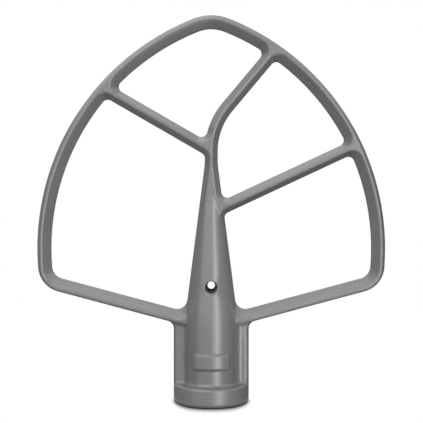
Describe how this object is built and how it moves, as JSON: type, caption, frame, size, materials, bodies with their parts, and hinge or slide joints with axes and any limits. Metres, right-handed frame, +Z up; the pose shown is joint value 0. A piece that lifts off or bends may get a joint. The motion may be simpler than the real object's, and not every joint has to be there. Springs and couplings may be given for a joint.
{
  "type": "stand mixer flat beater",
  "caption": "Leaf shaped flat beater for a stand mixer: a cast ring with slanted crossbars on a tapering post, whose hub slides onto the mixer's shaft and turns to lock.",
  "frame": {"origin": "centre of the collar's end face, where the hub's axis leaves the socket", "axes": "+Z up the hub's axis from the socket to the ring's tip, +X along the flat frame, front with the raised pad facing -Y"},
  "size_m": [0.1366, 0.0294, 0.1515],
  "materials": {
    "coated_casting": "smooth satin grey coat over die cast aluminium, soft cast edges"
  },
  "bodies": {
    "root": {"flat_beater": "coated_casting"}
  },
  "joints": []
}
